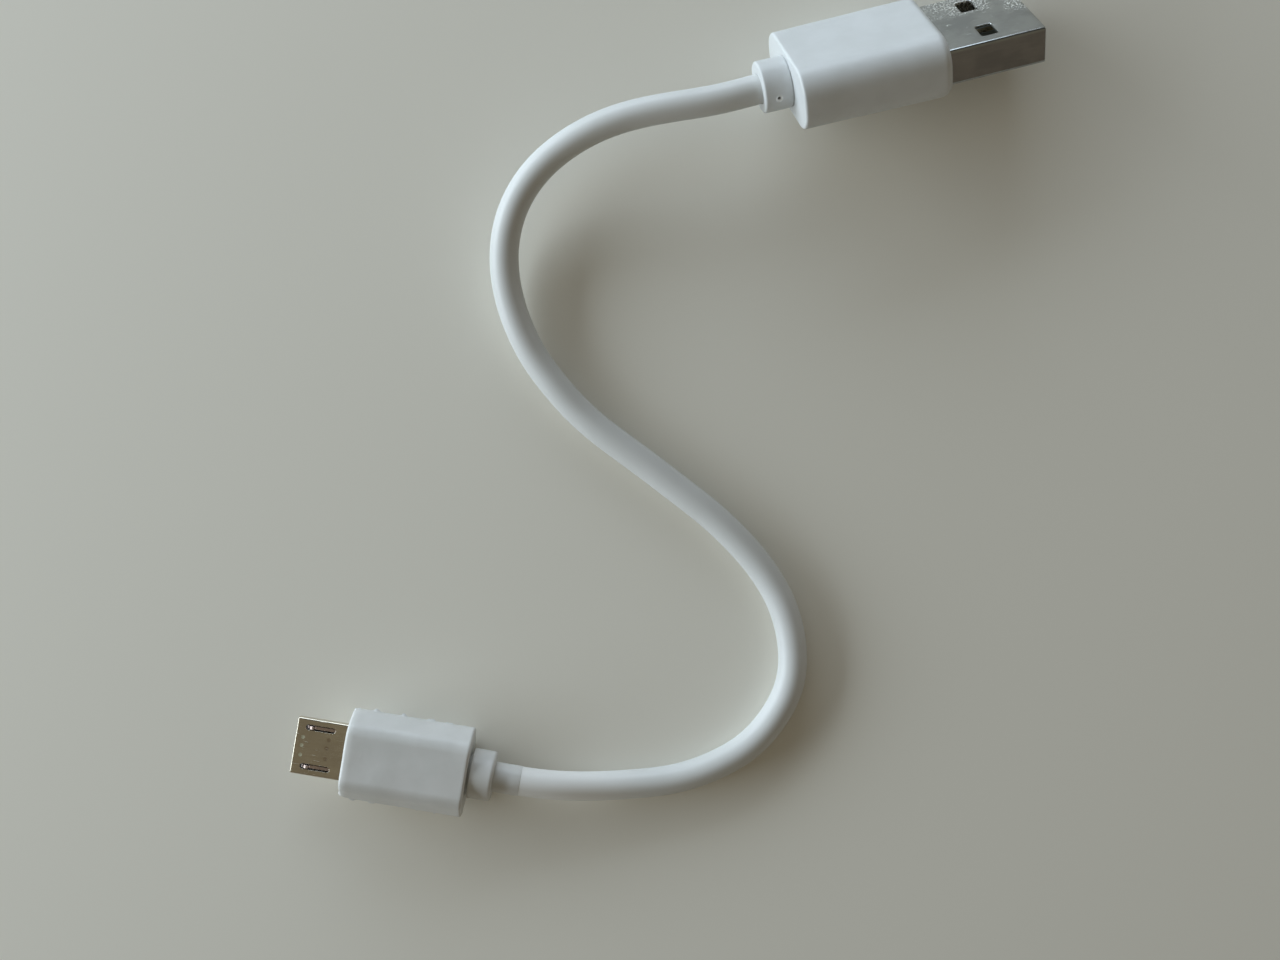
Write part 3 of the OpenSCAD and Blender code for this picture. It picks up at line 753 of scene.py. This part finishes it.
def press_punches(rings, r=0.22, depth=0.06):
    """Shallow round marks in the micro-B shell's upper face."""
    for x, y, _ in M_PUNCHES:
        near = np.hypot(rings[..., 0] - x, rings[..., 1] - y) / r
        top = rings[..., 2] > M_SHELL_T / 2 - 0.01
        rings[..., 2] -= np.where(top, depth * np.exp(-near ** 2), 0)


# Carried-over nodes

def dress_nodes(looks):
    """Gives every CAD node its own look or that of its slot, and some a softer edge."""
    for part in frame["record"]["subparts"]:
        node = frame["nodes"][part["node"]]
        node.data.materials.clear()
        node.data.materials.append(looks.get(part["node"], looks[part["material_slot"]]))
        for polygon in node.data.polygons:
            polygon.material_index = 0
    for name, width in SOFT_EDGES.items():
        node = frame["nodes"][name]
        weld = node.modifiers.new("weld", "WELD")
        weld.merge_threshold = 1e-6
        soft = node.modifiers.new("bevel", "BEVEL")
        soft.width, soft.segments = width * MM, 3
        soft.limit_method, soft.angle_limit = "ANGLE", math.radians(40)
        soft.harden_normals = True


# Floor and light

def add_floor(half=2):
    """Plain desk top, in metres."""
    floor = linked(bpy.data.meshes.new("floor"))
    corners = [(-half, -half, 0), (half, -half, 0), (half, half, 0), (-half, half, 0)]
    floor.data.from_pydata(corners, [], [(0, 1, 2, 3)])
    look = Look("desk_top", Roughness=0.5, IOR=1.4)
    look.shader.inputs["Base Color"].default_value = (0.82, 0.79, 0.71, 1)
    floor.data.materials.append(look.finish())


def add_window(name, azimuth, height, size, power, colour, distance=0.6):
    """Area light like a window, that many degrees round and up, aimed at the part."""
    data = bpy.data.lights.new(name, "AREA")
    data.shape, data.size, data.size_y = "RECTANGLE", *size
    data.energy, data.color = power, colour
    lamp = bpy.data.objects.new(name, data)
    a, e = math.radians(azimuth), math.radians(height)
    away = Vector((math.cos(a) * math.cos(e), math.sin(a) * math.cos(e), math.sin(e)))
    lamp.location = away * distance
    lamp.rotation_mode = "QUATERNION"
    lamp.rotation_quaternion = away.to_track_quat("Z", "Y")
    lamp.visible_camera = False
    bpy.context.scene.collection.objects.link(lamp)


def add_world():
    """Soft room light: grey on the windows' side, dark above them, brownish overhead and behind.
    The camera sees plain grey."""
    world = bpy.data.worlds.new("room")
    world.use_nodes = True
    bpy.context.scene.world = world
    room = Nodes(world.node_tree)
    way = room.add("ShaderNodeTexCoord", {}).outputs["Generated"]
    _, y, z = room.add("ShaderNodeSeparateXYZ", {0: way}).outputs
    horizon = room.mix(room.ramp(y, -0.3, 0.8), (0.15, 0.125, 0.095), (0.37, 0.37, 0.355))
    sky = room.mix(room.ramp(z, 0.3, 0.75), horizon, (0.19, 0.17, 0.125))
    high = room.product(room.ramp(z, 0.5, 0.6), room.ramp(z, 0.93, 0.86))
    shade = room.product(high, room.ramp(y, 0, 0.3))
    sky = room.mix(shade, sky, (0.06, 0.06, 0.055))
    seen = room.add("ShaderNodeLightPath", {}).outputs["Is Camera Ray"]
    colour = room.mix(seen, sky, (0.5, 0.51, 0.49))
    room.tree.links.new(colour, room.tree.nodes["Background"].inputs["Color"])


# The scene

add_camera()
add_cable(jacket("cable_pvc", (0.70, 0.71, 0.705), (0.66, 0.67, 0.66)))
a_grip(moulded("grip_pvc", (0.70, 0.72, 0.73), (0.66, 0.68, 0.685), 0.38))
# Painted shade: the dark dot stands for the shadow in the mark's pin hole
a_painted_shade_dot(moulded("painted_pinhole_shade", (0.10, 0.10, 0.09), (0.07, 0.07, 0.065), 0.6))
a_shell(sheet_steel("usb_a_steel", (0.42, 0.435, 0.435), (0.33, 0.345, 0.35), 0.13, a_wear))
m_grip(moulded("micro_grip_pvc", (0.71, 0.71, 0.70), (0.66, 0.665, 0.65), 0.38))
m_shell(sheet_steel("micro_b_steel", (0.75, 0.69, 0.57), (0.66, 0.60, 0.50), 0.2, m_wear))
dress_nodes({
    "white_grip": carried_plastic("grip_pvc_inside", (0.78, 0.80, 0.80), 0.4),
    "cable_jacket": carried_plastic("cable_pvc_inside", (0.78, 0.80, 0.80), 0.45),
    "inner_moulding": carried_plastic("inner_moulding", (0.72, 0.72, 0.66), 0.5),
    "insulator": carried_plastic("insulator_black", (0.27, 0.29, 0.28), 0.42),
    "micro_insulator": carried_plastic("micro_insulator_black", (0.04, 0.042, 0.045), 0.42),
    "red_insulation": carried_plastic("red_wire", (0.45, 0.03, 0.025), 0.4),
    "white_insulation": carried_plastic("white_wire", (0.78, 0.78, 0.75), 0.4),
    "green_insulation": carried_plastic("green_wire", (0.03, 0.30, 0.11), 0.4),
    "black_insulation": carried_plastic("black_wire", (0.03, 0.03, 0.03), 0.4),
    "steel_shell": carried_metal("shell_steel_inside", (0.58, 0.58, 0.56), 0.3),
    "latch_steel": carried_metal("latch_steel", (0.70, 0.58, 0.56), 0.25),
    "contact_gold": carried_metal("contact_gold", (0.62, 0.53, 0.36), 0.32),
    "solder": carried_metal("solder", (0.60, 0.61, 0.62), 0.4),
    "foil": carried_metal("shield_foil", (0.78, 0.79, 0.80), 0.3),
    "tinned_wire": carried_metal("tinned_wire", (0.70, 0.71, 0.72), 0.35),
    "copper_core": carried_metal("copper_wire", (0.75, 0.40, 0.22), 0.3),
})
add_floor()
add_window("window", azimuth=172, height=15.5, size=(0.7, 0.34), power=4.2,
           colour=(0.80, 0.915, 1.0))
add_window("pale_wall", azimuth=108, height=18, size=(0.6, 0.28), power=1.55,
           colour=(0.73, 0.87, 1.0))
add_world()
bpy.context.scene.view_settings.view_transform = "Standard"
